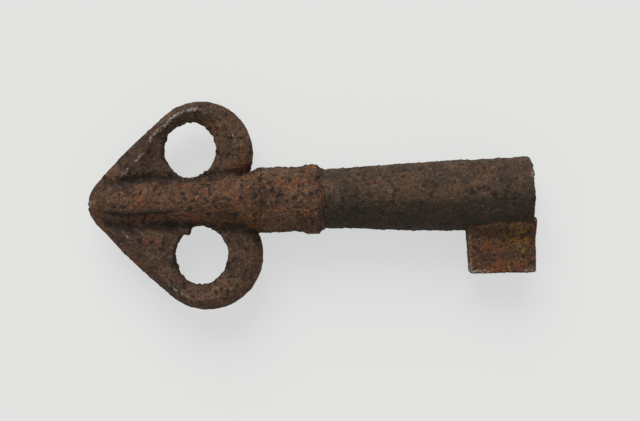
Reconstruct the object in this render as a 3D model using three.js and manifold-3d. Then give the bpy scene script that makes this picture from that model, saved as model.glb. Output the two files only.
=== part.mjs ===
import * as THREE from "three";
import { mergeVertices } from "three/addons/utils/BufferGeometryUtils.js";
import Module from "manifold-3d";

// A small wrought-iron barrel key. Lengths are in millimetres.
// X runs along the shank from the point of the bow to the mouth, Z is up, and the bit hangs towards -Y.
// Every x below is counted from the point of the bow, and y and z from the shank's axis.

// Bow: half-thickness and the flats that are filed along its edges
const BOW_HALF_THICKNESS = 2.1;
const BOW_EDGE_DROP = 1.3;
const BOW_EDGE_WIDTH = 0.7;
const NOSE_RADIUS = 3.6;
// Each lobe is a round of its own, because the two sides were forged by eye
// Each lobe is its eye with a rim round it. It reaches over the axis by its overlap, and the eye
// lies back towards the nose and outward from the lobe's middle.
const UPPER_EYE = { back: 1.35, outward: 0.55, halfLength: 3.43, halfWidth: 3.63 };
const LOWER_EYE = { back: 0.8, outward: 0.1, halfLength: 3.41, halfWidth: 3.78 };
const UPPER_LOBE = { side: 1, behindShoulder: 7.55, overlap: 0.45, rim: 2.87, eye: UPPER_EYE };
const LOWER_LOBE = { side: -1, behindShoulder: 7, overlap: 0.25, rim: 3.07, eye: LOWER_EYE };

// Stem: the rib down the bow, the shoulder that it swells to, and the tang
const SHOULDER_X = 21.7;
const SHOULDER_RADIUS = 4.05;
const RIB_NOSE_HALF_WIDTH = 0.75;
const RIB_NOSE_HALF_HEIGHT = 2.45;
const TANG_LENGTH_IN_BARREL = 7;

// Collar: a sleeve with a bead at its front end
const COLLAR_LENGTH = 7.8;
const COLLAR_RADIUS = 4.1;
const BEAD_WIDTH = 2.9;
const BEAD_HEIGHT = 0.25;

// Barrel: a pipe that widens from its neck to its mouth
const BARREL_LENGTH = 25.8;
const NECK_RADIUS = 3.8;
const NECK_LENGTH = 3;
const MOUTH_RADIUS = 4.65;
const BORE_RADIUS = 3.05;
const MOUTH_EDGE = 0.2;

// Bit: a plain plate, a little proud of the mouth
const BIT_LENGTH = 8.6;
const BIT_REACH = 9.85;
const BIT_THICKNESS = 2.7;
const BIT_PROUD = 0.45;
const BIT_EDGE = 0.2;

// Room between pieces: the tang slides in, and brazed or welded seams are wider
const SLIDING_CLEARANCE = 0.1;
const SEAM_GAP = 0.3;

// Fineness of the round surfaces
const ROUND_STEPS = 32;
const RIB_STEPS = 20;
const NOSE_STEPS = 8;
const LOBE_STEPS = 30;
const EYE_STEPS = 36;

const COLLAR_END_X = SHOULDER_X + COLLAR_LENGTH;
const MOUTH_X = COLLAR_END_X + BARREL_LENGTH;
const TANG_RADIUS = BORE_RADIUS - SLIDING_CLEARANCE;
const TANG_END_X = COLLAR_END_X + TANG_LENGTH_IN_BARREL;

const wasm = await Module();
wasm.setup();

function solidFrom(geometry) {
  const bare = geometry.clone();
  bare.deleteAttribute("normal");
  bare.deleteAttribute("uv");
  const merged = mergeVertices(bare, 1e-4);
  return new wasm.Manifold(
    new wasm.Mesh({
      numProp: 3,
      vertProperties: new Float32Array(merged.attributes.position.array),
      triVerts: new Uint32Array(merged.index.array),
    }),
  );
}

function geometryFrom(solid) {
  const mesh = solid.getMesh();
  const geometry = new THREE.BufferGeometry();
  geometry.setAttribute("position", new THREE.BufferAttribute(mesh.vertProperties, 3));
  geometry.setIndex(new THREE.BufferAttribute(mesh.triVerts, 1));
  geometry.computeVertexNormals();
  return geometry;
}

// A piece turned about the shank's axis. Each profile point is a radius and a distance along X.
function turned(profile) {
  const geometry = new THREE.LatheGeometry(profile, ROUND_STEPS);
  geometry.rotateZ(-Math.PI / 2);
  return geometry;
}

function ironMaterial(name, color, roughness) {
  return new THREE.MeshStandardMaterial({ name, color, roughness, metalness: 0.55 });
}

// Half-width of the rib at a share t of the way from the point of the bow to the shoulder.
// It opens quickly from its nose, runs nearly straight past the eyes, and flares at the shoulder.
function ribHalfWidth(t) {
  const straight = THREE.MathUtils.lerp(RIB_NOSE_HALF_WIDTH, 0.88 * SHOULDER_RADIUS, Math.pow(t, 0.8));
  return straight + 0.12 * SHOULDER_RADIUS * Math.pow(t, 6);
}

// Half-height of the rib at the same share. It stands a little above the plates of the bow at its nose.
function ribHalfHeight(t) {
  return THREE.MathUtils.lerp(RIB_NOSE_HALF_HEIGHT, SHOULDER_RADIUS, Math.pow(t, 1.6));
}

// The rib and shoulder: a turned profile with round ends, pressed to its own height along the bow.
// A growth above zero gives the same form with that much more metal all round.
function ribGeometry(growth) {
  const nose = RIB_NOSE_HALF_WIDTH;
  const profile = [new THREE.Vector2(0, -growth)];
  const noseSteps = 5;
  for (let i = 1; i < noseSteps; i += 1) {
    const turn = (i / noseSteps) * (Math.PI / 2);
    const radius = (nose + growth) * Math.sin(turn);
    profile.push(new THREE.Vector2(radius, nose - (nose + growth) * Math.cos(turn)));
  }
  for (let i = 0; i <= RIB_STEPS; i += 1) {
    const t = i / RIB_STEPS;
    const x = THREE.MathUtils.lerp(nose, SHOULDER_X, t);
    profile.push(new THREE.Vector2(ribHalfWidth(t) + growth, x));
  }
  profile.push(new THREE.Vector2(0, SHOULDER_X));
  const geometry = turned(profile);
  const position = geometry.attributes.position;
  for (let i = 0; i < position.count; i += 1) {
    const t = THREE.MathUtils.clamp((position.getX(i) - nose) / (SHOULDER_X - nose), 0, 1);
    const stretch = (ribHalfHeight(t) + growth) / (ribHalfWidth(t) + growth);
    position.setZ(i, position.getZ(i) * stretch);
  }
  return geometry;
}

// The stem: the rib with a round tang out of its shoulder.
function stem() {
  const overlap = 1;
  const chamfer = 0.3;
  const tang = turned([
    new THREE.Vector2(0, SHOULDER_X - overlap),
    new THREE.Vector2(TANG_RADIUS, SHOULDER_X - overlap),
    new THREE.Vector2(TANG_RADIUS, TANG_END_X - chamfer),
    new THREE.Vector2(TANG_RADIUS - chamfer, TANG_END_X),
    new THREE.Vector2(0, TANG_END_X),
  ]);
  return geometryFrom(solidFrom(ribGeometry(0)).add(solidFrom(tang)));
}

// Points along an arc of an ellipse, both ends included.
function arcPoints(x, y, radiusX, radiusY, from, to, steps) {
  const points = [];
  for (let i = 0; i <= steps; i += 1) {
    const turn = THREE.MathUtils.lerp(from, to, i / steps);
    points.push(new THREE.Vector2(x + radiusX * Math.cos(turn), y + radiusY * Math.sin(turn)));
  }
  return points;
}

function lobeOuterRadius(lobe) {
  return lobe.eye.halfWidth + lobe.rim;
}

function lobeX(lobe) {
  return SHOULDER_X - lobe.behindShoulder;
}

function lobeY(lobe) {
  return lobeOuterRadius(lobe) - lobe.overlap;
}

// The line that touches the nose round and a lobe round on their outer sides, as its angle to the axis.
function sideAngle(lobe) {
  const across = lobeX(lobe) - NOSE_RADIUS;
  const distance = Math.hypot(across, lobeY(lobe));
  return Math.atan2(lobeY(lobe), across) + Math.asin((lobeOuterRadius(lobe) - NOSE_RADIUS) / distance);
}

// Flat top of one half of the bow, inside its filed edges: nose round, straight side and lobe round.
// It is smaller than the full outline by the width of the edge, and stops that far from the axis.
function loopOutline(lobe) {
  const start = Math.PI / 2 + sideAngle(lobe);
  const noseRadius = NOSE_RADIUS - BOW_EDGE_WIDTH;
  const lobeRadius = lobeOuterRadius(lobe) - BOW_EDGE_WIDTH;
  const noseTurn = Math.PI - Math.asin(BOW_EDGE_WIDTH / noseRadius);
  const endTurn = Math.asin((lobeY(lobe) - BOW_EDGE_WIDTH) / lobeRadius);
  return new THREE.Shape([
    ...arcPoints(NOSE_RADIUS, 0, noseRadius, noseRadius, noseTurn, start, NOSE_STEPS),
    ...arcPoints(lobeX(lobe), lobeY(lobe), lobeRadius, lobeRadius, start, -endTurn, LOBE_STEPS),
  ]);
}

// One half of the bow: the flat top with its eye, extruded with filed edges that grow to the full outline.
// It is then cut back from the rib, which leaves the seam of the weld.
function bowLoop(lobe) {
  const eye = lobe.eye;
  const outline = loopOutline(lobe);
  const halfLength = eye.halfLength + BOW_EDGE_WIDTH;
  const halfWidth = eye.halfWidth + BOW_EDGE_WIDTH;
  const round = arcPoints(lobeX(lobe) - eye.back, lobeY(lobe) + eye.outward, halfLength, halfWidth, 0, 2 * Math.PI, EYE_STEPS);
  round.pop();
  outline.holes.push(new THREE.Path(round));
  const geometry = new THREE.ExtrudeGeometry(outline, {
    depth: 2 * (BOW_HALF_THICKNESS - BOW_EDGE_DROP),
    bevelEnabled: true,
    bevelThickness: BOW_EDGE_DROP,
    bevelSize: BOW_EDGE_WIDTH,
    bevelSegments: 3,
  });
  geometry.translate(0, 0, BOW_EDGE_DROP - BOW_HALF_THICKNESS);
  if (lobe.side < 0) {
    geometry.rotateX(Math.PI);
  }
  return geometryFrom(solidFrom(geometry).subtract(solidFrom(ribGeometry(SEAM_GAP))));
}

// The collar: a plain sleeve that rises in a half-round bead at its front end.
function collar() {
  const bore = TANG_RADIUS + SLIDING_CLEARANCE;
  const beadStart = COLLAR_END_X - BEAD_WIDTH;
  const profile = [
    new THREE.Vector2(bore, SHOULDER_X),
    new THREE.Vector2(COLLAR_RADIUS, SHOULDER_X),
  ];
  const beadSteps = 8;
  for (let i = 0; i <= beadSteps; i += 1) {
    const t = i / beadSteps;
    const rise = BEAD_HEIGHT * Math.sqrt(Math.sin(Math.PI * t));
    profile.push(new THREE.Vector2(COLLAR_RADIUS + rise, beadStart + BEAD_WIDTH * t));
  }
  profile.push(new THREE.Vector2(bore, COLLAR_END_X));
  profile.push(new THREE.Vector2(bore, SHOULDER_X));
  return turned(profile);
}

function barrelRadius(x) {
  const t = THREE.MathUtils.clamp((x - COLLAR_END_X - NECK_LENGTH) / (BARREL_LENGTH - NECK_LENGTH), 0, 1);
  return THREE.MathUtils.lerp(NECK_RADIUS, MOUTH_RADIUS, Math.pow(t, 0.75));
}

// The barrel: a pipe with a waisted neck, a slow taper and lightly broken edges at its mouth.
// A slot for the bit's tenon runs back from the mouth.
function barrel() {
  const profile = [new THREE.Vector2(BORE_RADIUS, COLLAR_END_X)];
  const taperSteps = 12;
  for (let i = 0; i <= taperSteps; i += 1) {
    const x = THREE.MathUtils.lerp(COLLAR_END_X, MOUTH_X - MOUTH_EDGE, i / taperSteps);
    profile.push(new THREE.Vector2(barrelRadius(x), x));
  }
  profile.push(new THREE.Vector2(MOUTH_RADIUS - MOUTH_EDGE, MOUTH_X));
  profile.push(new THREE.Vector2(BORE_RADIUS + MOUTH_EDGE, MOUTH_X));
  profile.push(new THREE.Vector2(BORE_RADIUS, MOUTH_X - MOUTH_EDGE));
  profile.push(new THREE.Vector2(BORE_RADIUS, COLLAR_END_X));
  const slotStart = MOUTH_X + BIT_PROUD - BIT_LENGTH - SEAM_GAP;
  const slotEnd = MOUTH_X + 1;
  const slot = new THREE.BoxGeometry(
    slotEnd - slotStart,
    MOUTH_RADIUS + 1,
    BIT_THICKNESS + 2 * SEAM_GAP,
  );
  slot.translate((slotStart + slotEnd) / 2, -(MOUTH_RADIUS + 1) / 2, 0);
  return geometryFrom(solidFrom(turned(profile)).subtract(solidFrom(slot)));
}

// The bit: a plate with lightly broken edges. Its root is a tenon that fills the barrel's wall.
function bit() {
  const root = Math.hypot(BORE_RADIUS, BIT_THICKNESS / 2) + SEAM_GAP / 2;
  const endX = MOUTH_X + BIT_PROUD;
  const outline = new THREE.Shape();
  outline.moveTo(endX - BIT_LENGTH + BIT_EDGE, -BIT_REACH + BIT_EDGE);
  outline.lineTo(endX - BIT_EDGE, -BIT_REACH + BIT_EDGE);
  outline.lineTo(endX - BIT_EDGE, -root - BIT_EDGE);
  outline.lineTo(endX - BIT_LENGTH + BIT_EDGE, -root - BIT_EDGE);
  const geometry = new THREE.ExtrudeGeometry(outline, {
    depth: BIT_THICKNESS - 2 * BIT_EDGE,
    bevelEnabled: true,
    bevelThickness: BIT_EDGE,
    bevelSize: BIT_EDGE,
    bevelSegments: 1,
  });
  geometry.translate(0, 0, BIT_EDGE - BIT_THICKNESS / 2);
  return geometry;
}

const bowIron = ironMaterial("forged bow, rusted brown", 0x55423a, 0.85);
const stemIron = ironMaterial("forged rib, red-brown rust", 0x5c4638, 0.88);
const collarIron = ironMaterial("collar, crusted rust", 0x5a4438, 0.9);
const barrelIron = ironMaterial("drawn barrel, dark rust", 0x463a31, 0.82);
const bitIron = ironMaterial("filed bit, red rust", 0x5b4132, 0.86);

const pieces = [
  ["stem", stem(), stemIron],
  ["bow_loop_upper", bowLoop(UPPER_LOBE), bowIron],
  ["bow_loop_lower", bowLoop(LOWER_LOBE), bowIron],
  ["collar", collar(), collarIron],
  ["barrel", barrel(), barrelIron],
  ["bit", bit(), bitIron],
];

const key = new THREE.Group();
for (const [name, geometry, material] of pieces) {
  const mesh = new THREE.Mesh(geometry, material);
  mesh.name = name;
  key.add(mesh);
}

// The origin is the middle of the key's box, at its lowest point.
const box = new THREE.Box3().setFromObject(key, true);
key.position.set(-(box.min.x + box.max.x) / 2, -(box.min.y + box.max.y) / 2, -box.min.z);
key.updateMatrixWorld(true);

export default key;
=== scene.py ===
import math

import bpy
import numpy as np
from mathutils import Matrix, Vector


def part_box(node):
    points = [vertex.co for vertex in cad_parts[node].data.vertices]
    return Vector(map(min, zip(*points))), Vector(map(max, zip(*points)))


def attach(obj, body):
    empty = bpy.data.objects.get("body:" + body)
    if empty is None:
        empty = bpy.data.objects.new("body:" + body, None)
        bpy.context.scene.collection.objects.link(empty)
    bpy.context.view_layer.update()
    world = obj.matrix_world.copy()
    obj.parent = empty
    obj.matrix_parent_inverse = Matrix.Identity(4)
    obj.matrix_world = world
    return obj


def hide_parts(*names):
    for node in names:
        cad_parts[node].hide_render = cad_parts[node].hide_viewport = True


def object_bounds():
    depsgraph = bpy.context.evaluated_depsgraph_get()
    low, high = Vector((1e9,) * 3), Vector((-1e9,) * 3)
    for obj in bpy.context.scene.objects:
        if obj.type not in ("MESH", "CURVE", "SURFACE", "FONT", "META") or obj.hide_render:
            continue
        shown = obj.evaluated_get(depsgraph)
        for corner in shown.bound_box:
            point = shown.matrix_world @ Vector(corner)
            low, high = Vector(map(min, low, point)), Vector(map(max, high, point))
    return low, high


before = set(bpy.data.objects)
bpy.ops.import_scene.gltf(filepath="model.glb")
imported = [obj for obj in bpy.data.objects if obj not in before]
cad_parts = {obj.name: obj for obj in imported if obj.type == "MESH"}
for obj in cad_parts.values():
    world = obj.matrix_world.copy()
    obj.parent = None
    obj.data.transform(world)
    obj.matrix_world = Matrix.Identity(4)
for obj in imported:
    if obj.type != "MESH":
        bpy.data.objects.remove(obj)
cad_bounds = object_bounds()

# A rusted iron barrel key, lying flat and seen from above. Shapes are worked out in millimetres in the
# key's own frame: x from the point of the bow towards the mouth, y and z from the shank's axis.
MM = 0.001
stem_low, stem_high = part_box("stem")
collar_low, collar_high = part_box("collar")
barrel_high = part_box("barrel")[1]
bit_low, bit_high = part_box("bit")
POINT_X = stem_low[0] / MM
AXIS_Y = (collar_low[1] + collar_high[1]) / 2 / MM
AXIS_Z = (collar_low[2] + collar_high[2]) / 2 / MM

# Places along the shank and sizes across it, read from the frame
COLLAR_X = collar_low[0] / MM - POINT_X
NECK_X = collar_high[0] / MM - POINT_X
MOUTH_X = barrel_high[0] / MM - POINT_X
TANG_X = stem_high[0] / MM - POINT_X
MOUTH_R = barrel_high[2] / MM - AXIS_Z
BEAD_R = (collar_high[2] - collar_low[2]) / 2 / MM
BIT_BACK_X = bit_low[0] / MM - POINT_X
BIT_FRONT_X = bit_high[0] / MM - POINT_X
BIT_EDGE_Y = bit_low[1] / MM - AXIS_Y
BIT_HALF = (bit_high[2] - bit_low[2]) / 2 / MM

# Sizes that the boxes don't give: the radii of the sleeve, the barrel's neck, its bore and the bow's nose,
# half of the bow's thickness, and where the bow's halves end inside the rib and the bit inside the barrel
SLEEVE_R = 4.1
NECK_R = 3.8
BORE_R = 3.05
NOSE_R = 3.6
BOW_HALF = 2.05
BOW_INNER_Y = 0.35
BIT_INNER_Y = -2.9

# The two halves of the bow. The lobe has its middle and radius, the eye its middle and half-axes. The rub
# sets how bright the arris is painted, partly as wear and partly as a painted highlight, weaker on the lower
# half, whose outer slope faces away from the lamp. The burr stands into the eye at an angle in degrees, with
# its height in mm and its spread in radians.
UPPER = {"side": 1, "lobe": (14.15, 6.05, 6.45), "eye": (12.8, 6.6, 3.43, 3.63), "rub_and_light": 1.0, "burr": None}
LOWER = {"side": -1, "lobe": (14.7, 6.6, 6.8), "eye": (13.9, 6.7, 3.41, 3.78), "rub_and_light": 0.6,
         "burr": (-119, 0.5, 0.13)}

# Patches of fresh orange rust on the upper side: x and y of the middle, and radius
FRESH_RUST = [(20.3, 4.1, 1.6), (25.2, 1.6, 0.8), (28.0, 3.9, 1.0), (6.7, 0.9, 1.2), (7.9, -2.0, 1.4),
              (21.0, -2.0, 1.6), (19.2, 5.3, 1.2), (20.4, -6.2, 1.5), (53.2, -4.6, 1.7), (53.6, -6.1, 1.2),
              (12.6, 2.9, 0.8), (49.5, 3.0, 1.6)]

# The noise lattice is turned off the key's axes, so that no pit or lump lines up with them, and shifted,
# so that its coordinates stay above zero
LATTICE_TURN = np.array([[0.36, 0.48, -0.8], [-0.8, 0.6, 0.0], [0.48, 0.64, 0.6]])
LATTICE_SHIFT = 1000.0

# Relief of old rust, as depth and size in mm: forging waves and lumps, crust and grain, and scabs
WAVES = ((0.07, 3.5), (0.055, 1.1))
CRUST = ((0.045, 0.42), (0.028, 0.2))
SCAB_HEIGHT = 0.1
SCAB_SIZES = (0.5, 0.23)


def hashed(cells, seed):
    """A fixed number from -1 to 1 for each lattice point, mixed from its three coordinates and a seed."""
    mixed = np.uint32(seed * 2654435 + 12345)
    for axis, factor in enumerate((73856093, 19349663, 83492791)):
        mixed = mixed ^ (cells[..., axis].astype(np.uint32) * np.uint32(factor))
    for shift, factor in ((15, 2246822519), (13, 3266489917)):
        mixed = (mixed ^ (mixed >> np.uint32(shift))) * np.uint32(factor)
    mixed = mixed ^ (mixed >> np.uint32(16))
    return mixed.astype(np.float64) / 2**31 - 1.0


def noise(points, size, seed):
    """Value noise from -1 to 1: numbers on a turned lattice, one size apart, blended by a smoothstep."""
    place = points @ LATTICE_TURN / size + LATTICE_SHIFT
    cell = np.floor(place).astype(np.int64)
    part = place - cell
    part = part * part * (3 - 2 * part)
    total = np.zeros(place.shape[:-1])
    for corner in np.ndindex(2, 2, 2):
        near = np.abs(1 - np.array(corner) - part)
        total += near[..., 0] * near[..., 1] * near[..., 2] * hashed(cell + corner, seed)
    return total


def smooth(low, high, value):
    """A smoothstep: 0 at low, 1 at high, flat beyond them. Low may be the larger of the two."""
    part = np.clip((value - low) / (high - low), 0, 1)
    return part * part * (3 - 2 * part)


def bump_at(value, middle, width):
    """A bell curve: 1 where the value is at the middle, fading over the width on both sides."""
    return np.exp(-(((value - middle) / width) ** 2))


def corroded(points, normals, seed, depth=1.0):
    """Moves each point along its normal by the relief of old rust, in mm.

    Forging waves of 3.5 mm, lumps of 1.1 mm, crust of 0.42 mm and grain of 0.2 mm are added, and 0.1 mm
    is taken off where a mix of 0.5 mm and 0.23 mm noise is high. Only the bit's normals point out of
    the metal. The others point into it, so there the spots that are taken off stand up as scabs.
    Returns the points, and the relief without the waves and lumps.
    """
    layers = [height * noise(points, size, seed + step) for step, (height, size) in enumerate(WAVES + CRUST)]
    coarse, fine = [noise(points, size, seed + 4 + step) for step, size in enumerate(SCAB_SIZES)]
    rust = layers[2] + layers[3] - SCAB_HEIGHT * smooth(0.3, 0.8, coarse + 0.4 * fine)
    relief = depth * (layers[0] + layers[1] + rust)
    return points + normals * relief[..., None], depth * rust


def grid_normals(points, closed_rows):
    """Unit normals of a grid: the cross product of its differences around (columns) and along (rows)."""
    around = np.roll(points, -1, axis=1) - np.roll(points, 1, axis=1)
    if closed_rows:
        along = np.roll(points, -1, axis=0) - np.roll(points, 1, axis=0)
    else:
        along = np.gradient(points, axis=0)
    normals = np.cross(around, along)
    length = np.linalg.norm(normals, axis=2, keepdims=True)
    return normals / np.maximum(length, 1e-9)


def grid_faces(rows, columns, closed_rows):
    """Corner numbers and corner counts of a grid's faces: quads between neighbouring rows and columns.

    Where the rows don't close on each other, two poles follow the grid's points, and a fan of triangles
    joins each pole to its end row.
    """
    row = np.arange(rows if closed_rows else rows - 1)[:, None]
    column = np.arange(columns)[None, :]
    next_row = (row + 1) % rows
    next_column = (column + 1) % columns
    quads = [row * columns + column, row * columns + next_column, next_row * columns + next_column,
             next_row * columns + column]
    corners = np.stack(quads, axis=-1).reshape(-1)
    counts = np.full(len(corners) // 4, 4)
    if not closed_rows:
        ring = np.arange(columns)
        onward = np.roll(ring, -1)
        end = (rows - 1) * columns
        pole = np.full(columns, rows * columns)
        near = np.stack([onward, ring, pole], axis=1)
        far = np.stack([end + ring, end + onward, pole + 1], axis=1)
        corners = np.concatenate([corners, near.reshape(-1), far.reshape(-1)])
        counts = np.append(counts, np.full(2 * columns, 3))
    return corners.astype(np.int32), counts.astype(np.int32)


def grid_piece(name, points, closed_rows, relief, wear_and_highlight, material, node):
    """A mesh from a grid of points in mm, closed around its columns.

    Its rows close on each other too, or each end row is drawn together to a pole. The bit's faces point
    out of the metal, and those of the other pieces point into it.
    """
    corners, counts = grid_faces(points.shape[0], points.shape[1], closed_rows)
    flat = points.reshape(-1, 3)
    relief = relief.reshape(-1)
    wear_and_highlight = wear_and_highlight.reshape(-1)
    if not closed_rows:
        flat = np.vstack([flat, points[0].mean(axis=0), points[-1].mean(axis=0)])
        relief = np.append(relief, [0, 0])
        wear_and_highlight = np.append(wear_and_highlight, [0, 0])
    fresh = np.zeros(len(flat))
    for patch_x, patch_y, radius in FRESH_RUST:
        apart = ((flat[:, 0] - patch_x) ** 2 + (flat[:, 1] - patch_y) ** 2) / radius**2
        fresh += np.exp(-apart) * (flat[:, 2] > 0)
    placed = (flat + np.array([POINT_X, AXIS_Y, AXIS_Z])) * MM
    mesh = bpy.data.meshes.new(name)
    mesh.vertices.add(len(placed))
    mesh.vertices.foreach_set("co", placed.reshape(-1))
    mesh.loops.add(len(corners))
    mesh.loops.foreach_set("vertex_index", corners)
    mesh.polygons.add(len(counts))
    mesh.polygons.foreach_set("loop_start", np.cumsum(counts, dtype=np.int32) - counts)
    mesh.polygons.foreach_set("loop_total", counts)
    mesh.update(calc_edges=True)
    mesh.polygons.foreach_set("use_smooth", np.ones(len(counts), dtype=bool))
    for label, values in (("relief", relief), ("wear_and_highlight", wear_and_highlight), ("fresh", fresh)):
        attribute = mesh.attributes.new(label, "FLOAT", "POINT")
        attribute.data.foreach_set("value", values.astype(np.float32))
    mesh.validate()
    mesh.materials.append(material)
    piece = bpy.data.objects.new(name, mesh)
    bpy.context.collection.objects.link(piece)
    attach(piece, "root")
    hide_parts(node)


def srgb(code):
    """Linear colour from an sRGB hex value."""
    parts = [int(code[i : i + 2], 16) / 255 for i in (1, 3, 5)]
    return [p / 12.92 if p <= 0.04045 else ((p + 0.055) / 1.055) ** 2.4 for p in parts] + [1]


def add(tree, kind, inputs=(), **settings):
    """Adds a node, with its settings, and sets or links its inputs from (socket, value or output) pairs."""
    node = tree.nodes.new(kind)
    for key, value in settings.items():
        setattr(node, key, value)
    for socket, value in inputs:
        if isinstance(value, bpy.types.NodeSocket):
            tree.links.new(value, node.inputs[socket])
        else:
            node.inputs[socket].default_value = value
    return node


# Noise patterns of the iron: size in mm, detail, roughness and distortion. The grain is drawn at 0.22 mm,
# because real rust grain of 0.05 mm would not show.
PATTERNS = {
    "mottle": (2.6, 3.0, 0.6, 0.0),
    "bloom": (1.7, 4.0, 0.65, 0.6),
    "spots": (0.62, 2.0, 0.5, 0.8),
    "ragged": (0.8, 4.0, 0.75, 1.0),
    "flakes": (0.3, 3.0, 0.7, 0.0),
    "grain": (0.22, 2.0, 0.7, 0.0),
    "scale": (0.42, 3.0, 0.75, 0.5),
    "glint": (0.27, 2.0, 0.8, 0.0),
    "bumps": (0.34, 4.0, 0.7, 0.0),
}

GRAIN_STRENGTH = 0.75
BUMP_HEIGHT = 0.2 * MM
BUMP_STRENGTH = 0.75
BARE_ROUGHNESS = 0.5
BARE_METAL = 0.45
SPECULAR = 0.2


def rusted_iron(name, brown, dark, red, red_share, spot, spot_share, roughness, shade=0.0):
    """Wrought iron, forged and filed, long rusted and then cleaned and handled.

    It gives the eye a matt brown oxide with red-brown bloom, small ochre spots and orange patches, dark
    scale between grains and dark scabs, pale specks that are painted glints, and bare grey metal rubbed
    bright on the edges, partly a painted highlight. The scabs' darkening also carries painted shade in the
    valley beside the rib and along its fold. The shade darkens the side that faces away from the lamp.
    """
    material = bpy.data.materials.new(name)
    material.use_nodes = True
    tree = material.node_tree
    tree.nodes.clear()
    place = add(tree, "ShaderNodeTexCoord").outputs["Object"]
    value = {"across": add(tree, "ShaderNodeSeparateXYZ", [("Vector", place)]).outputs["Y"]}
    for label, (size, detail, rough, distortion) in PATTERNS.items():
        inputs = [("Vector", place), ("Scale", 1 / (size * MM)), ("Detail", detail), ("Roughness", rough),
                  ("Distortion", distortion)]
        value[label] = add(tree, "ShaderNodeTexNoise", inputs).outputs["Fac"]
    for label in ("relief", "wear_and_highlight", "fresh"):
        value[label] = add(tree, "ShaderNodeAttribute", attribute_name=label).outputs["Fac"]

    # Each share is a product of values, eased from its first level to its last as it runs between two bounds
    shares = [
        ("browned", ["mottle"], 0.35, 0.65, 0.0, 1.0),
        ("reddened", ["bloom"], 0.62 - red_share, 0.74 - red_share, 0.0, 0.9),
        ("shaded", ["across"], (AXIS_Y + 0.2) * MM, (AXIS_Y - 1.0) * MM, 0.0, shade),
        ("spotted", ["spots"], 0.69 - spot_share, 0.76 - spot_share, 0.0, 0.85),
        ("torn", ["ragged"], 0.42, 0.6, 0.0, 1.0),
        ("broken", ["flakes"], 0.4, 0.6, 0.0, 1.0),
        ("orange", ["fresh", "torn", "broken"], 0.1, 0.75, 0.0, 0.62),
        ("grained", ["grain"], 0.3, 0.7, 0.0, 1.0),
        ("scaled", ["scale"], 0.52, 0.37, 0.0, 0.85),
        ("scabs_and_painted_shade", ["relief"], -0.01, -0.09, 0.0, 0.85),
        ("paled", ["relief"], 0.015, 0.07, 0.0, 0.3),
        ("painted_glints", ["glint"], 0.64, 0.72, 0.0, 0.5),
        ("flaked", ["flakes"], 0.42, 0.62, 0.35, 1.35),
        ("bare", ["wear_and_highlight", "flaked"], 0.25, 0.75, 0.0, 1.0),
    ]
    for label, factors, low, high, first, last in shares:
        product = value[factors[0]]
        for factor in factors[1:]:
            inputs = [(0, product), (1, value[factor])]
            product = add(tree, "ShaderNodeMath", inputs, operation="MULTIPLY").outputs[0]
        inputs = [("Value", product), ("From Min", low), ("From Max", high), ("To Min", first),
                  ("To Max", last)]
        eased = add(tree, "ShaderNodeMapRange", inputs, interpolation_type="SMOOTHSTEP")
        value[label] = eased.outputs["Result"]

    # Layers of colour, from the brown oxide up to the bare metal
    inputs = [(0, value["grained"]), (6, srgb("#767370")), (7, srgb("#ffffff"))]
    speckle = add(tree, "ShaderNodeMix", inputs, data_type="RGBA").outputs[2]
    layers = [
        (value["browned"], srgb(brown), "MIX"),
        (value["reddened"], srgb(red), "MIX"),
        (value["shaded"], srgb("#2b261a"), "MIX"),
        (value["spotted"], srgb(spot), "MIX"),
        (value["orange"], srgb(spot), "MIX"),
        (GRAIN_STRENGTH, speckle, "MULTIPLY"),
        (value["scaled"], srgb("#2a2019"), "MIX"),
        # Dark scabs, and painted shade where the relief was lowered in the valley beside the rib and along
        # the fold
        (value["scabs_and_painted_shade"], srgb("#1b1511"), "MIX"),
        (value["paled"], srgb("#917560"), "MIX"),
        # Painted glints: pale specks that stand for small highlights
        (value["painted_glints"], srgb("#a08a76"), "MIX"),
        # Bare grey metal on the edges, partly real wear and partly a painted highlight
        (value["bare"], srgb("#857c74"), "MIX"),
    ]
    colour = srgb(dark)
    for factor, tint, mode in layers:
        inputs = [(0, factor), (6, colour), (7, tint)]
        colour = add(tree, "ShaderNodeMix", inputs, data_type="RGBA", blend_type=mode).outputs[2]

    height = add(tree, "ShaderNodeMath", [(0, value["bumps"]), (1, BUMP_HEIGHT)], operation="MULTIPLY")
    bump = add(tree, "ShaderNodeBump",
               [("Height", height.outputs[0]), ("Strength", BUMP_STRENGTH), ("Distance", 1.0)])
    matt = add(tree, "ShaderNodeMapRange",
               [("Value", value["bare"]), ("To Min", roughness), ("To Max", BARE_ROUGHNESS)])
    metal = add(tree, "ShaderNodeMath", [(0, value["bare"]), (1, BARE_METAL)], operation="MULTIPLY")
    shader = add(
        tree,
        "ShaderNodeBsdfPrincipled",
        [("Base Color", colour), ("Roughness", matt.outputs["Result"]), ("Metallic", metal.outputs[0]),
         ("Normal", bump.outputs["Normal"]), ("Specular IOR Level", SPECULAR)],
    )
    add(tree, "ShaderNodeOutputMaterial", [("Surface", shader.outputs[0])])
    return material


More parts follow.
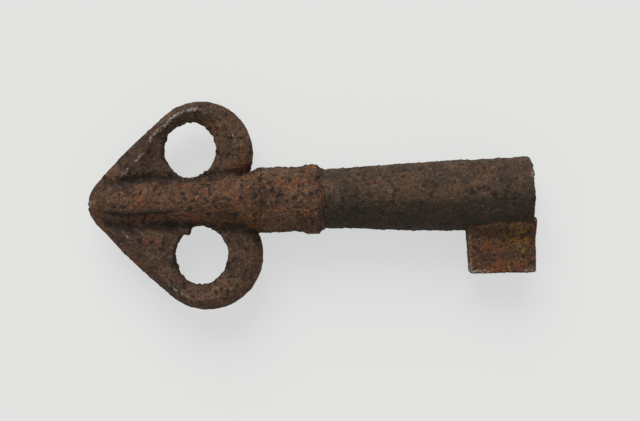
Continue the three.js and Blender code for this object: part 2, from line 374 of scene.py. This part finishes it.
forged_bow = rusted_iron("iron_forged_rusted_bow", brown="#6b4f3b", dark="#4b382b", red="#75442b",
                         red_share=0.04, spot="#96591f", spot_share=0.012, roughness=0.76)
forged_rib = rusted_iron("iron_forged_rusted_rib", brown="#704f39", dark="#513928", red="#7f4628",
                         red_share=0.09, spot="#a8601e", spot_share=0.04, roughness=0.76)
collar_crust = rusted_iron("iron_crusted_collar", brown="#6b4d38", dark="#4c3728", red="#7a4629",
                           red_share=0.08, spot="#b16a20", spot_share=0.05, roughness=0.78)
barrel_dark = rusted_iron("iron_pitted_barrel", brown="#604936", dark="#433427", red="#6e432c",
                          red_share=0.035, spot="#8c5729", spot_share=0.0, roughness=0.74, shade=0.75)
bit_red = rusted_iron("iron_filed_bit", brown="#674832", dark="#513a27", red="#7a4326",
                      red_share=0.12, spot="#a17a20", spot_share=0.035, roughness=0.76)


def rib_half_width(x):
    """Half-width of the rib: a quick opening behind the nose, an even band, and a flare at the collar."""
    band = 0.7 + 2.1 * (1 - np.exp(-np.maximum(x - 0.7, 0) / 1.3))
    return band + 0.5 * smooth(13, 20, x) + 0.75 * smooth(18.8, COLLAR_X, x)


def rib_half_height(x):
    """Half-height of the rib: level with the bow at its nose, then rising to the collar."""
    return 2.12 + 0.35 * smooth(1.5, 6, x) + 1.58 * smooth(6, COLLAR_X + 1.5, x) ** 1.15


def bow_outline(form):
    """One half of the bow's edge, and the same edge closed by a line inside the rib.

    An arc round the nose, a side that touches it and the lobe and swells between them by half a sine,
    and an arc round the lobe.
    """
    side_swell = 0.22
    lobe_x, lobe_y, lobe_r = form["lobe"]
    across = lobe_x - NOSE_R
    lean = math.atan2(lobe_y, across) + math.asin((lobe_r - NOSE_R) / math.hypot(across, lobe_y))
    start = math.pi / 2 + lean
    turn = np.linspace(math.pi - math.asin(BOW_INNER_Y / NOSE_R), start, 200)
    nose = np.stack([NOSE_R + NOSE_R * np.cos(turn), NOSE_R * np.sin(turn)], axis=1)
    turn = np.linspace(start, -math.asin((lobe_y - BOW_INNER_Y) / lobe_r), 700)
    lobe = np.stack([lobe_x + lobe_r * np.cos(turn), lobe_y + lobe_r * np.sin(turn)], axis=1)
    part = np.linspace(0, 1, 300)[1:-1, None]
    swell = side_swell * np.sin(math.pi * part) * np.array([[math.cos(start), math.sin(start)]])
    side = nose[-1] * (1 - part) + lobe[0] * part + swell
    back = lobe[-1] * (1 - part) + nose[0] * part
    edge = np.vstack([nose, side, lobe])
    return edge, np.vstack([edge, back])


def eye_radius(form, angle, seed):
    """The eye's rim by angle: an oval with a ragged edge, and a burr where the form has one."""
    eye_x, eye_y, half_length, half_width = form["eye"]
    oval = 1 / np.sqrt((np.cos(angle) / half_length) ** 2 + (np.sin(angle) / half_width) ** 2)
    rim = np.stack([eye_x + oval * np.cos(angle), eye_y + oval * np.sin(angle), 0 * angle], axis=1)
    radius = oval + 0.13 * noise(rim, 1.3, seed + 9) + 0.07 * noise(rim, 0.45, seed + 10)
    if form["burr"]:
        burr_angle, burr_height, burr_spread = form["burr"]
        off = (angle - math.radians(burr_angle) + math.pi) % (2 * math.pi) - math.pi
        radius = radius - burr_height * bump_at(off, 0, burr_spread)
    return radius


def bow_loop(name, form, node, seed):
    """Half of the bow as a ring round its eye: angle about the eye by place around the ring's section.

    The radius runs from the oval eye to the bow's outline. The height is the lower of two slopes, one up
    from the outer edge and one up from the eye. An arris stands along the outer edge, a shallow dish lies
    within it, and a valley with painted shade runs beside the rib. The arris is painted bright, partly as
    rubbed metal and partly as a painted highlight, most on the side towards the point, and this fades with
    the angle.
    """
    columns = 520
    steps = 62
    wall_rows = 10
    edge_height, eye_height, crown = 1.0, 1.3, BOW_HALF + 0.1
    edge_slope, eye_slope, meeting = 1.45, 1.5, 0.1
    outer_bulge, eye_bulge = 0.12, 0.1
    arris_height, arris_in, arris_width = 0.12, 1.3, 0.24
    dish_depth = 0.28
    wall_relief = 0.55
    valley_shade = 0.13

    side = form["side"]
    eye_x, eye_y = form["eye"][:2]
    edge, whole = bow_outline(form)
    around = np.arctan2(whole[:, 1] - eye_y, whole[:, 0] - eye_x)
    reach = np.hypot(whole[:, 0] - eye_x, whole[:, 1] - eye_y)
    order = np.argsort(around)
    angle = np.linspace(-math.pi, math.pi, columns, endpoint=False)
    outer = np.interp(angle, around[order], reach[order], period=2 * math.pi)
    inner = eye_radius(form, angle, seed)

    # Rows lie closer together near the eye and the edge
    even = np.linspace(0, 1, steps)
    across = 0.55 * (0.5 - 0.5 * np.cos(math.pi * even)) + 0.45 * even
    radius = inner[None, :] + (outer - inner)[None, :] * across[:, None]
    x = eye_x + radius * np.cos(angle)
    y = eye_y + radius * np.sin(angle)
    from_eye = radius - inner[None, :]
    from_rib = y - rib_half_width(x)
    to_edge = np.empty_like(x)
    for row in range(steps):
        apart = np.hypot(x[row][:, None] - edge[::3, 0], y[row][:, None] - edge[::3, 1])
        to_edge[row] = apart.min(axis=1)

    spread = np.clip((outer - inner)[None, :] / 3.2, 0.75, 1.4)
    edge_part = np.clip(to_edge / (edge_slope * spread), 0, 1)
    eye_part = np.clip(from_eye / (eye_slope * spread), 0, 1)
    up_edge = edge_height + (BOW_HALF - edge_height) * np.sin(edge_part * math.pi / 2) ** 0.9
    up_eye = eye_height + (crown - eye_height) * eye_part**0.8
    height = -meeting * np.log(np.exp(-up_edge / meeting) + np.exp(-up_eye / meeting))
    top = np.stack([x, y * side, 0 * x], axis=2)
    valley = bump_at(from_rib, 0.2, 0.65) * smooth(0.4, 2.6, x)
    valley = valley * (0.55 + 0.25 * noise(top, 1.6, seed + 12))
    dish = dish_depth * smooth(1.6, 3.6, to_edge) * smooth(0.0, 1.2, from_eye)
    arris = bump_at(to_edge, arris_in * spread, arris_width) * smooth(0.2, 1.0, from_rib)
    height = height - dish - valley + arris_height * arris

    # The ring's section: out along the top, down the outer wall, back underneath and up the eye's wall
    wall = np.linspace(1, -1, wall_rows + 2)[1:-1, None]
    outer_r = outer[None, :] + outer_bulge * (1 - wall**2)
    eye_r = inner[None, :] - eye_bulge * (1 - wall**2)
    cos, sin = np.cos(angle), np.sin(angle)
    points = np.concatenate([
        np.stack([x, y, height], axis=2),
        np.stack([eye_x + outer_r * cos, eye_y + outer_r * sin, height[-1] * wall], axis=2),
        np.stack([x[::-1], y[::-1], -height[::-1]], axis=2),
        np.stack([eye_x + eye_r * cos, eye_y + eye_r * sin, height[0] * -wall], axis=2),
    ])
    towards_point = bump_at(np.abs(angle), 2.25, 0.75)
    # Painted bright arris and nose: partly wear, partly a painted highlight
    rubbed_and_lit = form["rub_and_light"] * arris * (0.28 + 0.75 * towards_point + 0.5 * noise(top, 0.9, seed + 11))
    rubbed_and_lit = np.clip(rubbed_and_lit + 0.5 * bump_at(x, 0, 0.8) * bump_at(y, 0, 0.9), 0, 1)
    none = np.zeros((wall_rows, columns))
    wear_and_highlight = np.concatenate([rubbed_and_lit, none, 0.5 * rubbed_and_lit[::-1], none])
    points[..., 1] *= side
    points = points[:, ::side]
    wear_and_highlight = wear_and_highlight[:, ::side]

    # The relief is calmer on the outer wall and eases into it over the top's last rows
    moved, relief = corroded(points, grid_normals(points, True), seed)
    calm = np.ones((len(points), 1, 1))
    calm[steps : steps + wall_rows] = wall_relief
    calm[steps - 6 : steps, 0, 0] = np.linspace(1.0, wall_relief, 6)
    # Painted shade: the valley beside the rib is darkened by lowering the relief there
    relief[:steps] -= valley_shade * valley[:, ::side]
    points = points + (moved - points) * calm
    grid_piece(name, points, True, relief, wear_and_highlight, forged_bow, node)


def turned_grid(profile_x, profile_r, columns, stretch=1.0):
    """A profile of x and radius carried round the axis. The stretch scales the height at each place."""
    turn = np.linspace(0, 2 * math.pi, columns, endpoint=False)
    x = np.repeat(profile_x[:, None], columns, axis=1)
    y = profile_r[:, None] * np.cos(turn)
    z = (profile_r * stretch)[:, None] * np.sin(turn)
    return np.stack([x, y, z], axis=2)


def stem_piece():
    """The rib and its tang: a profile of half-width along x, from a round nose to the tang's end.

    It is carried round the axis with a half-height of its own, and a forging fold runs along the rib.
    """
    columns = 200
    nose = 0.75
    tang_rows = 40
    rib_relief = 1.15
    fold_height, fold_width, fold_shade = 0.3, 0.3, 0.09
    turn = np.linspace(0.06, math.pi / 2, 14)
    rib_x = nose + (COLLAR_X - nose) * np.linspace(0, 1, 330)[1:]
    tang_x = np.linspace(COLLAR_X, TANG_X, tang_rows)
    tang_r = np.full(tang_rows, BORE_R - 0.1)
    tang_r[-1] = 0.05
    profile_x = np.concatenate([nose - nose * np.cos(turn), rib_x, tang_x])
    profile_r = np.concatenate([nose * np.sin(turn), rib_half_width(rib_x), tang_r])
    blunt = np.full(len(turn), rib_half_height(nose) / nose)
    rib_stretch = rib_half_height(rib_x) / rib_half_width(rib_x)
    stretch = np.concatenate([blunt, rib_stretch, np.ones(tang_rows)])
    points = turned_grid(profile_x, profile_r, columns, stretch)
    inward = -grid_normals(points, False)
    x, y = points[..., 0], points[..., 1]
    fold_y = -0.85 + 0.35 * noise(points * [1, 0, 0], 2.4, 44)
    fold = bump_at(y, fold_y, fold_width) * smooth(1.2, 3.0, x) * smooth(12.0, 8.5, x)
    moved, relief = corroded(points - inward * (fold_height * fold)[..., None], inward, 41)
    depth = np.where(x < COLLAR_X - 0.02, rib_relief, 0.0)
    # Painted shade: the fold is darkened by lowering the relief along it
    relief = (relief - fold_shade * fold) * depth
    moved = points + (moved - points) * depth[..., None]
    # Bright at the nose and on the rib's upper side by the collar: partly wear, partly a painted highlight
    wear_and_highlight = 0.5 * bump_at(x, 0, 1.2) + 0.2 * smooth(COLLAR_X - 2.5, COLLAR_X, x) * smooth(2.6, 3.6, y)
    grid_piece("key_stem_rib", moved[::-1], False, relief[::-1], wear_and_highlight[::-1], forged_rib, "stem")


def wander(points):
    """The ragged joint of collar and barrel under the crust: both shift along x by one noise field."""
    reach = 0.5
    around = noise(points * [0, 1, 1], 2.4, 71) + 0.5 * noise(points * [0, 1, 1], 0.9, 72)
    x = points[..., 0]
    near = smooth(NECK_X - 3.4, NECK_X - 0.4, x) * smooth(NECK_X + 3.5, NECK_X, x)
    moved = points.copy()
    moved[..., 0] += reach * around * near
    return moved


def collar_piece():
    """The collar: a profile of radius along x, out along the sleeve and its bead and back through the bore.

    The bead is half a sine, behind it the sleeve has a shallow waist, and its front end turns in. Uneven
    strakes run along the outside, and the joint with the barrel wanders.
    """
    columns = 260
    bore_rows = 12
    bead_length = 2.9
    waist_depth, waist_place, waist_width = 0.13, 3.6, 1.5
    front_turn_in, front_length = 0.5, 1.1
    strake_depth = 0.07
    out_x = COLLAR_X + (NECK_X - COLLAR_X) * np.linspace(0, 1, 130)
    bead = np.clip((out_x - (NECK_X - bead_length)) / bead_length, 0, 1)
    out_r = SLEEVE_R + (BEAD_R - SLEEVE_R) * np.sin(math.pi * bead)
    out_r = out_r - waist_depth * bump_at(out_x, COLLAR_X + waist_place, waist_width)
    out_r = out_r - front_turn_in * smooth(NECK_X - front_length, NECK_X, out_x)
    profile_x = np.concatenate([out_x, np.linspace(NECK_X, COLLAR_X, bore_rows)])
    profile_r = np.concatenate([out_r, np.full(bore_rows, BORE_R)])
    points = turned_grid(profile_x, profile_r, columns)
    outside = np.repeat((profile_r > BORE_R + 0.2)[:, None], columns, axis=1)
    inward = -grid_normals(points, True)
    strakes = noise(points * [0.12, 1, 1], 0.7, 66) + 0.6 * noise(points, 0.8, 67)
    pressed = points + inward * (strake_depth * strakes * outside)[..., None]
    moved, relief = corroded(pressed, inward, 61, 1.25)
    moved = np.where(outside[..., None], wander(moved), points)
    x, y, z = points[..., 0], points[..., 1], points[..., 2]
    # Bright on the collar's upper side and top: partly wear, partly a painted highlight
    wear_and_highlight = 0.4 * bump_at(x, COLLAR_X + 0.5, 0.6) * smooth(1.8, 3.6, y)
    wear_and_highlight += 0.2 * smooth(NECK_X - 2.6, NECK_X - 1.4, x) * smooth(0.5, 3.6, z)
    relief = relief * outside
    wear_and_highlight = wear_and_highlight * outside
    grid_piece("key_collar", moved[::-1], True, relief[::-1], wear_and_highlight[::-1], collar_crust, "collar")


def barrel_piece():
    """The barrel: its outside from neck to mouth, round the mouth's worn lip, and back down the bore."""
    columns = 270
    face_rows = 9
    bore_rows = 56
    lip = 0.2
    neck_waist, neck_width = 0.12, 0.5
    bore_relief = 0.35
    span = MOUTH_X - NECK_X
    out_x = NECK_X + (span - lip) * np.linspace(0, 1, 270)
    flare = np.clip((out_x - NECK_X - 3) / (span - 3), 0, 1) ** 0.75
    out_r = NECK_R + (MOUTH_R - NECK_R) * flare - neck_waist * bump_at(out_x, NECK_X, neck_width)
    turn = np.linspace(0, math.pi / 2, 9)[1:]
    lip_x = MOUTH_X - lip + lip * np.sin(turn)
    lip_r = out_r[-1] - lip + lip * np.cos(turn)
    face_r = np.linspace(out_r[-1] - 0.28, BORE_R + 0.15, face_rows)
    bore_x = np.linspace(MOUTH_X - 0.15, NECK_X, bore_rows)
    profile_x = np.concatenate([out_x, lip_x, np.full(face_rows, MOUTH_X), bore_x])
    profile_r = np.concatenate([out_r, lip_r, face_r, np.full(bore_rows, BORE_R)])
    points = turned_grid(profile_x, profile_r, columns)
    bore = np.repeat((profile_r < BORE_R + 0.01)[:, None], columns, axis=1)
    moved, relief = corroded(points, -grid_normals(points, True), 81, 0.85)
    depth = np.where(bore, bore_relief, 1.0)
    moved = wander(points + (moved - points) * depth[..., None])
    relief = relief * depth
    x, y = points[..., 0], points[..., 1]
    # A bright lip at the mouth on its upper side only: partly wear, partly a painted highlight
    wear_and_highlight = 0.7 * bump_at(x, MOUTH_X - 0.25, 0.35) * (~bore) * smooth(0.5, 2.5, y)
    wear_and_highlight = np.clip(wear_and_highlight * (0.5 + 0.8 * noise(points, 2.0, 83)), 0, 1)
    grid_piece("key_barrel", moved[::-1], True, relief[::-1], wear_and_highlight[::-1], barrel_dark, "barrel")


def bit_piece():
    """The bit: a plate with a rounded outline, by angle round its middle and place from top to underside.

    The outline is a superellipse with nearly square corners, and the edges are rounded by a quarter circle.
    The plate thickens where it enters the barrel, most towards the mouth, and its back leans a little.
    """
    columns = 420
    flat_rows = 46
    wall_rows = 10
    corner_power = 26.0
    edge_round = 0.28
    root_swell = 1.6
    back_lean = 0.35
    middle_x, middle_y = (BIT_BACK_X + BIT_FRONT_X) / 2, (BIT_EDGE_Y + BIT_INNER_Y) / 2
    half_x, half_y = (BIT_FRONT_X - BIT_BACK_X) / 2, (BIT_INNER_Y - BIT_EDGE_Y) / 2
    turn = np.linspace(0, 2 * math.pi, columns, endpoint=False)
    ray = np.abs(np.cos(turn) / half_x) ** corner_power + np.abs(np.sin(turn) / half_y) ** corner_power
    ray = ray ** (-1 / corner_power)
    bend = np.linspace(0, math.pi / 2, 8)[1:]
    inset = np.concatenate([np.full(flat_rows, edge_round), edge_round * (1 - np.sin(bend))])
    scale = np.concatenate([np.linspace(0.01, 1, flat_rows), np.ones(len(bend))])
    z = np.concatenate([np.full(flat_rows, BIT_HALF), BIT_HALF - edge_round * (1 - np.cos(bend))])
    wall = np.linspace(z[-1], -z[-1], wall_rows + 2)[1:-1]
    inset = np.concatenate([inset, np.zeros(wall_rows), inset[::-1]])
    scale = np.concatenate([scale, np.ones(wall_rows), scale[::-1]])
    z = np.concatenate([z, wall, -z[::-1]])
    radius = scale[:, None] * (ray[None, :] - inset[:, None])
    x = middle_x + radius * np.cos(turn)
    y = middle_y + radius * np.sin(turn)
    root = root_swell * smooth(-5.7, -3.7, y) * (0.5 + 0.5 * smooth(BIT_BACK_X, BIT_BACK_X + 4.5, x))
    z = z[:, None] * (1 + root / BIT_HALF)
    down = (y - BIT_INNER_Y) / (BIT_EDGE_Y - BIT_INNER_Y)
    lean = back_lean * down * smooth(BIT_BACK_X + 3, BIT_BACK_X, x)
    points = np.stack([x + lean, y, z], axis=2)
    moved, relief = corroded(points, -grid_normals(points, False), 101, 0.8)
    back = bump_at(points[..., 0], BIT_BACK_X + 0.35, 0.35)
    bottom = bump_at(points[..., 1], BIT_EDGE_Y + 0.25, 0.3)
    wear_and_highlight = np.clip((0.75 * back + 0.8 * bottom) * (0.55 + 0.7 * noise(points, 1.8, 103)), 0, 1)
    grid_piece("key_bit", moved[:, ::-1], False, relief[:, ::-1], wear_and_highlight[:, ::-1], bit_red, "bit")


bow_loop("key_bow_upper", UPPER, "bow_loop_upper", 11)
bow_loop("key_bow_lower", LOWER, "bow_loop_lower", 27)
stem_piece()
collar_piece()
barrel_piece()
bit_piece()

# Floor: matt white paper, which gives the key a soft pale ground. The camera sees a part of its colour as
# an even glow, and the rest is lit paper, which takes the key's shadow.
PAPER_GLOW_SHARE = 0.75
FLOOR_HALF = 1.5
FLOOR_Z = cad_bounds[0][2] - 0.08 * MM
paper = bpy.data.materials.new("paper_matt_white")
paper.use_nodes = True
sheet = paper.node_tree
sheet.nodes.clear()
matt = add(sheet, "ShaderNodeBsdfDiffuse", [("Color", srgb("#e8e4dd"))])
glow = add(sheet, "ShaderNodeEmission", [("Color", srgb("#e2e4e4")), ("Strength", 1.0)])
rays = add(sheet, "ShaderNodeLightPath")
seen = add(sheet, "ShaderNodeMath", [(0, rays.outputs["Is Camera Ray"]), (1, PAPER_GLOW_SHARE)],
           operation="MULTIPLY")
both = add(sheet, "ShaderNodeMixShader", [(0, seen.outputs[0]), (1, matt.outputs[0]), (2, glow.outputs[0])])
add(sheet, "ShaderNodeOutputMaterial", [("Surface", both.outputs[0])])
floor_mesh = bpy.data.meshes.new("floor")
floor_corners = [(-FLOOR_HALF, -FLOOR_HALF, FLOOR_Z), (FLOOR_HALF, -FLOOR_HALF, FLOOR_Z),
                 (FLOOR_HALF, FLOOR_HALF, FLOOR_Z), (-FLOOR_HALF, FLOOR_HALF, FLOOR_Z)]
floor_mesh.from_pydata(floor_corners, [], [(0, 1, 2, 3)])
floor_mesh.materials.append(paper)
floor = bpy.data.objects.new("floor", floor_mesh)
bpy.context.collection.objects.link(floor)

# Light: a pale room all round, and one broad soft lamp from the top of the picture
ROOM_STRENGTH = 0.5
LAMP_STRENGTH = 2.6
LAMP_SPREAD = 45
LAMP_ELEVATION = 38
LAMP_TURN = 12
world = bpy.data.worlds.new("pale_room")
bpy.context.scene.world = world
world.use_nodes = True
room = world.node_tree
room.nodes.clear()
rays = add(room, "ShaderNodeLightPath")
seen = add(room, "ShaderNodeMath", [(0, rays.outputs["Is Camera Ray"]), (1, rays.outputs["Is Glossy Ray"])],
           operation="MAXIMUM")
light = add(room, "ShaderNodeBackground", [("Color", srgb("#ffffff")), ("Strength", ROOM_STRENGTH)])
shown = add(room, "ShaderNodeBackground", [("Color", srgb("#e6e9e9")), ("Strength", 1.0)])
both = add(room, "ShaderNodeMixShader", [(0, seen.outputs[0]), (1, light.outputs[0]), (2, shown.outputs[0])])
add(room, "ShaderNodeOutputWorld", [("Surface", both.outputs[0])])

lamp_data = bpy.data.lights.new("soft_lamp", "SUN")
lamp_data.energy = LAMP_STRENGTH
lamp_data.angle = math.radians(LAMP_SPREAD)
lamp = bpy.data.objects.new("soft_lamp", lamp_data)
lamp.rotation_euler = (math.radians(LAMP_ELEVATION - 90), 0, math.radians(LAMP_TURN))
bpy.context.collection.objects.link(lamp)

# Camera: straight above, close enough that the mouth's crown leans outwards as in the photograph
PIXEL_MM = 0.1258
PHOTO_WIDTH = 640
CAMERA_HEIGHT = 157
CAMERA_X = 28.93
CAMERA_Y = -1.45
PHOTO_TURN = -1.5
SENSOR = 36
CLIP_START = 0.005
camera_data = bpy.data.cameras.new("photo_camera")
camera_data.sensor_width = SENSOR
camera_data.lens = SENSOR * CAMERA_HEIGHT / (PHOTO_WIDTH * PIXEL_MM)
camera_data.clip_start = CLIP_START
camera = bpy.data.objects.new("photo_camera", camera_data)
camera.location = [(CAMERA_X + POINT_X) * MM, (CAMERA_Y + AXIS_Y) * MM, (CAMERA_HEIGHT + AXIS_Z) * MM]
camera.rotation_euler = (0, 0, math.radians(PHOTO_TURN))
bpy.context.collection.objects.link(camera)
bpy.context.scene.camera = camera
bpy.context.scene.view_settings.view_transform = "Standard"
